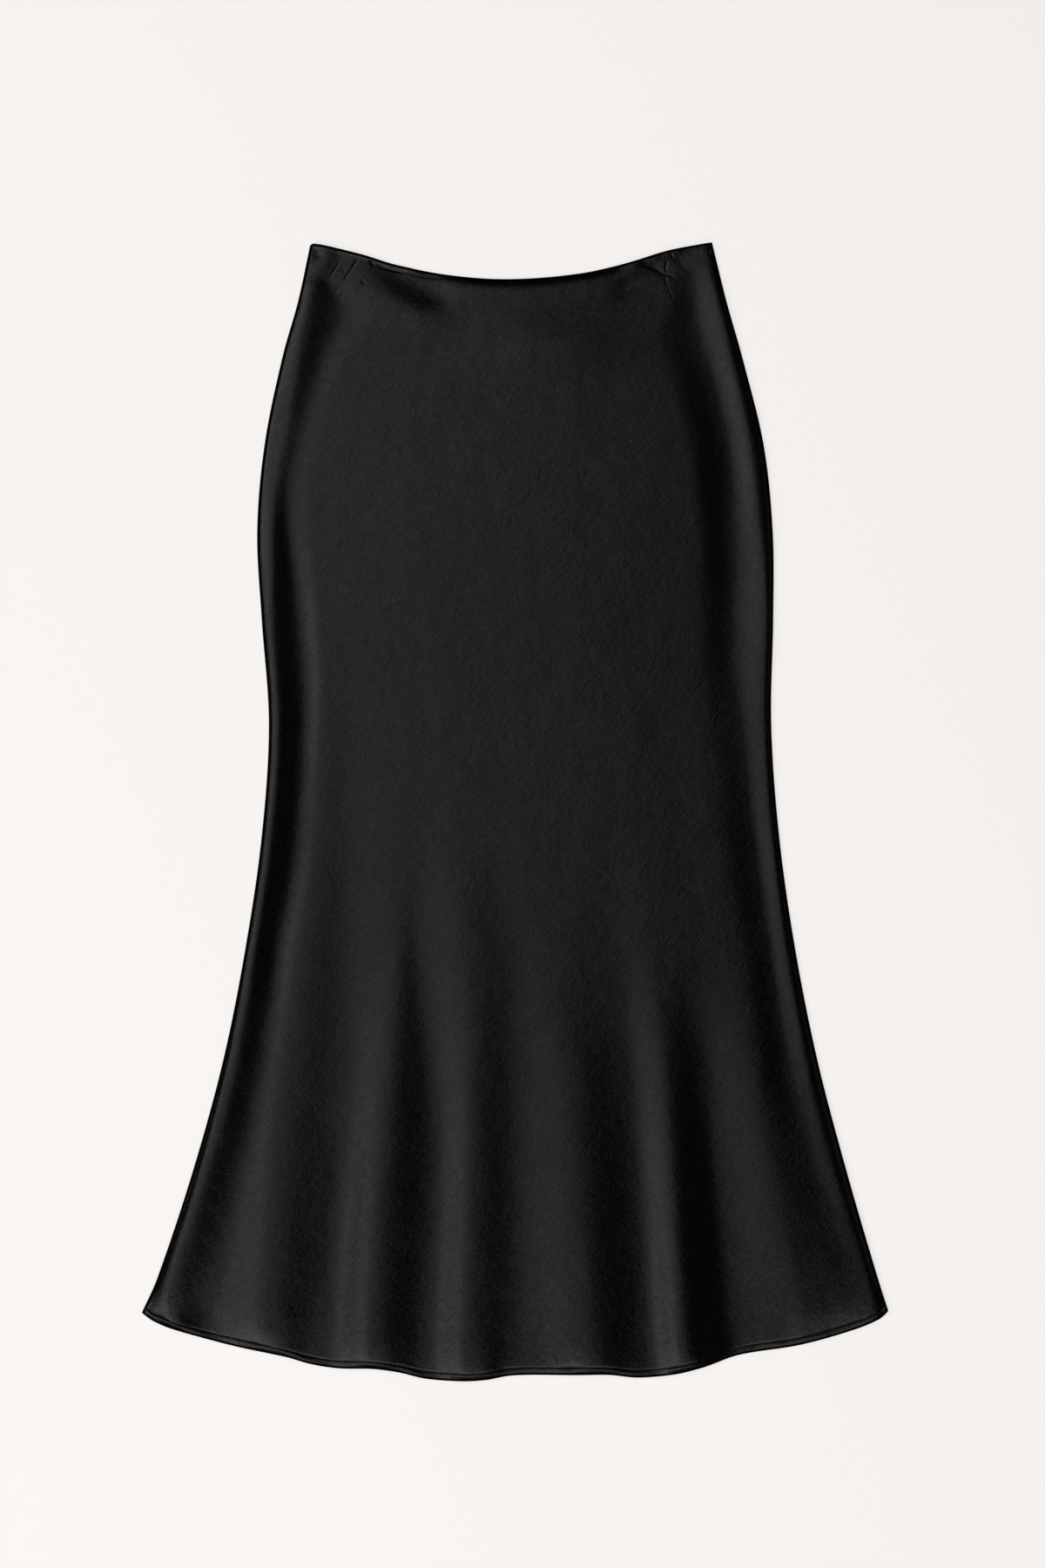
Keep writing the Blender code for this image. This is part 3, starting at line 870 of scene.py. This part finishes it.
def softbox(name, centre, size, radiance):
    """A horizontal panel of light, which gives the satin its bright and dark bands."""
    data = bpy.data.lights.new(name, "AREA")
    data.shape = "RECTANGLE"
    data.size, data.size_y = size
    data.energy = radiance * math.pi * size[0] * size[1]
    data.color = LAMP_COLOUR
    placed(name, data).location = centre


def sky():
    """Dim overhead, so that slopes away from the softbox go dark, and pale near the horizon."""
    world = bpy.data.worlds.new("studio")
    bpy.context.scene.world = world
    world.use_nodes = True
    tree = world.node_tree
    background = tree.nodes["Background"]
    where = tree.nodes.new("ShaderNodeTexCoord")
    parts = tree.nodes.new("ShaderNodeSeparateXYZ")
    ramp = tree.nodes.new("ShaderNodeValToRGB")
    stops = [(0.0, 0.09), (0.10, 0.07), (0.28, 0.03), (1.0, 0.012)]
    ramp.color_ramp.elements[0].position, ramp.color_ramp.elements[1].position = stops[0][0], stops[-1][0]
    for place, _ in stops[1:-1]:
        ramp.color_ramp.elements.new(place)
    for element, (_, grey) in zip(ramp.color_ramp.elements, stops):
        element.color = (*(grey * part for part in LAMP_COLOUR), 1.0)
    tree.links.new(where.outputs["Generated"], parts.inputs["Vector"])
    tree.links.new(parts.outputs["Z"], ramp.inputs["Fac"])
    tree.links.new(ramp.outputs["Color"], background.inputs["Color"])
    background.inputs["Strength"].default_value = 1.0


floor()
# The bank of light that the satin mirrors. It is bright out to the left and dim overhead and to the right.
# The strips that the cloth near the hem mirrors are brighter than their neighbours.
Strip = namedtuple("Strip", "right left top bottom radiance")
STRIPS = [
    Strip(0.90, 0.42, 1.60, 0.35, 0.23),
    Strip(0.42, 0.12, 1.60, 0.35, 0.25),
    Strip(0.12, 0.02, 1.60, 0.35, 0.44),
    Strip(0.50, 0.16, 0.20, -0.60, 0.14),
    Strip(0.02, -0.42, 1.60, 0.35, 0.93),
    Strip(-0.42, -0.90, 1.60, 0.35, 1.10),
    Strip(-0.90, -1.80, 2.00, 0.35, 1.25),
    Strip(-1.80, -3.40, 2.60, 0.35, 2.10),
    Strip(0.16, -0.30, 0.35, -1.06, 0.80),
    Strip(-0.30, -0.85, 0.35, -0.80, 0.82),
    Strip(-0.30, -0.85, -0.80, -1.06, 1.20),
    Strip(-0.85, -1.80, 0.35, -0.45, 1.10),
    Strip(-1.80, -3.40, 0.35, 0.00, 2.20),
    Strip(-0.85, -1.80, -0.45, -0.80, 1.02),
    Strip(-0.85, -1.80, -0.80, -1.06, 1.45),
    Strip(-1.80, -2.75, 0.00, -0.80, 1.35),
    Strip(-1.80, -3.10, -0.80, -1.06, 1.60),
    Strip(-0.85, -3.10, -1.14, -1.45, 2.00),
    Strip(0.52, 0.08, -1.06, -1.75, 1.12),
    Strip(4.60, 2.50, 1.60, -1.60, 0.25),
]
for number, strip in enumerate(STRIPS):
    centre = ((strip.right + strip.left) / 2, (strip.top + strip.bottom) / 2, BANK_HEIGHT)
    size = (strip.right - strip.left, strip.top - strip.bottom)
    softbox(f"softbox_{number}", centre, size, strip.radiance)
softbox("softbox_front", (-1.55, -2.35, BANK_HEIGHT), (2.1, 1.8), 2.5)
softbox("softbox_corner", (0.30, -2.40, BANK_HEIGHT), (1.6, 1.3), 2.1)
sky()

camera_data = bpy.data.cameras.new("camera")
camera = placed("camera", camera_data)
camera.location = (*VIEW_CENTRE, CAMERA_HEIGHT)
camera_data.sensor_fit = "AUTO"
camera_data.sensor_width = SENSOR
camera_data.lens = SENSOR * CAMERA_HEIGHT / VIEW_HEIGHT
camera_data.clip_end = 200.0
bpy.context.scene.camera = camera
bpy.context.scene.view_settings.view_transform = "Standard"
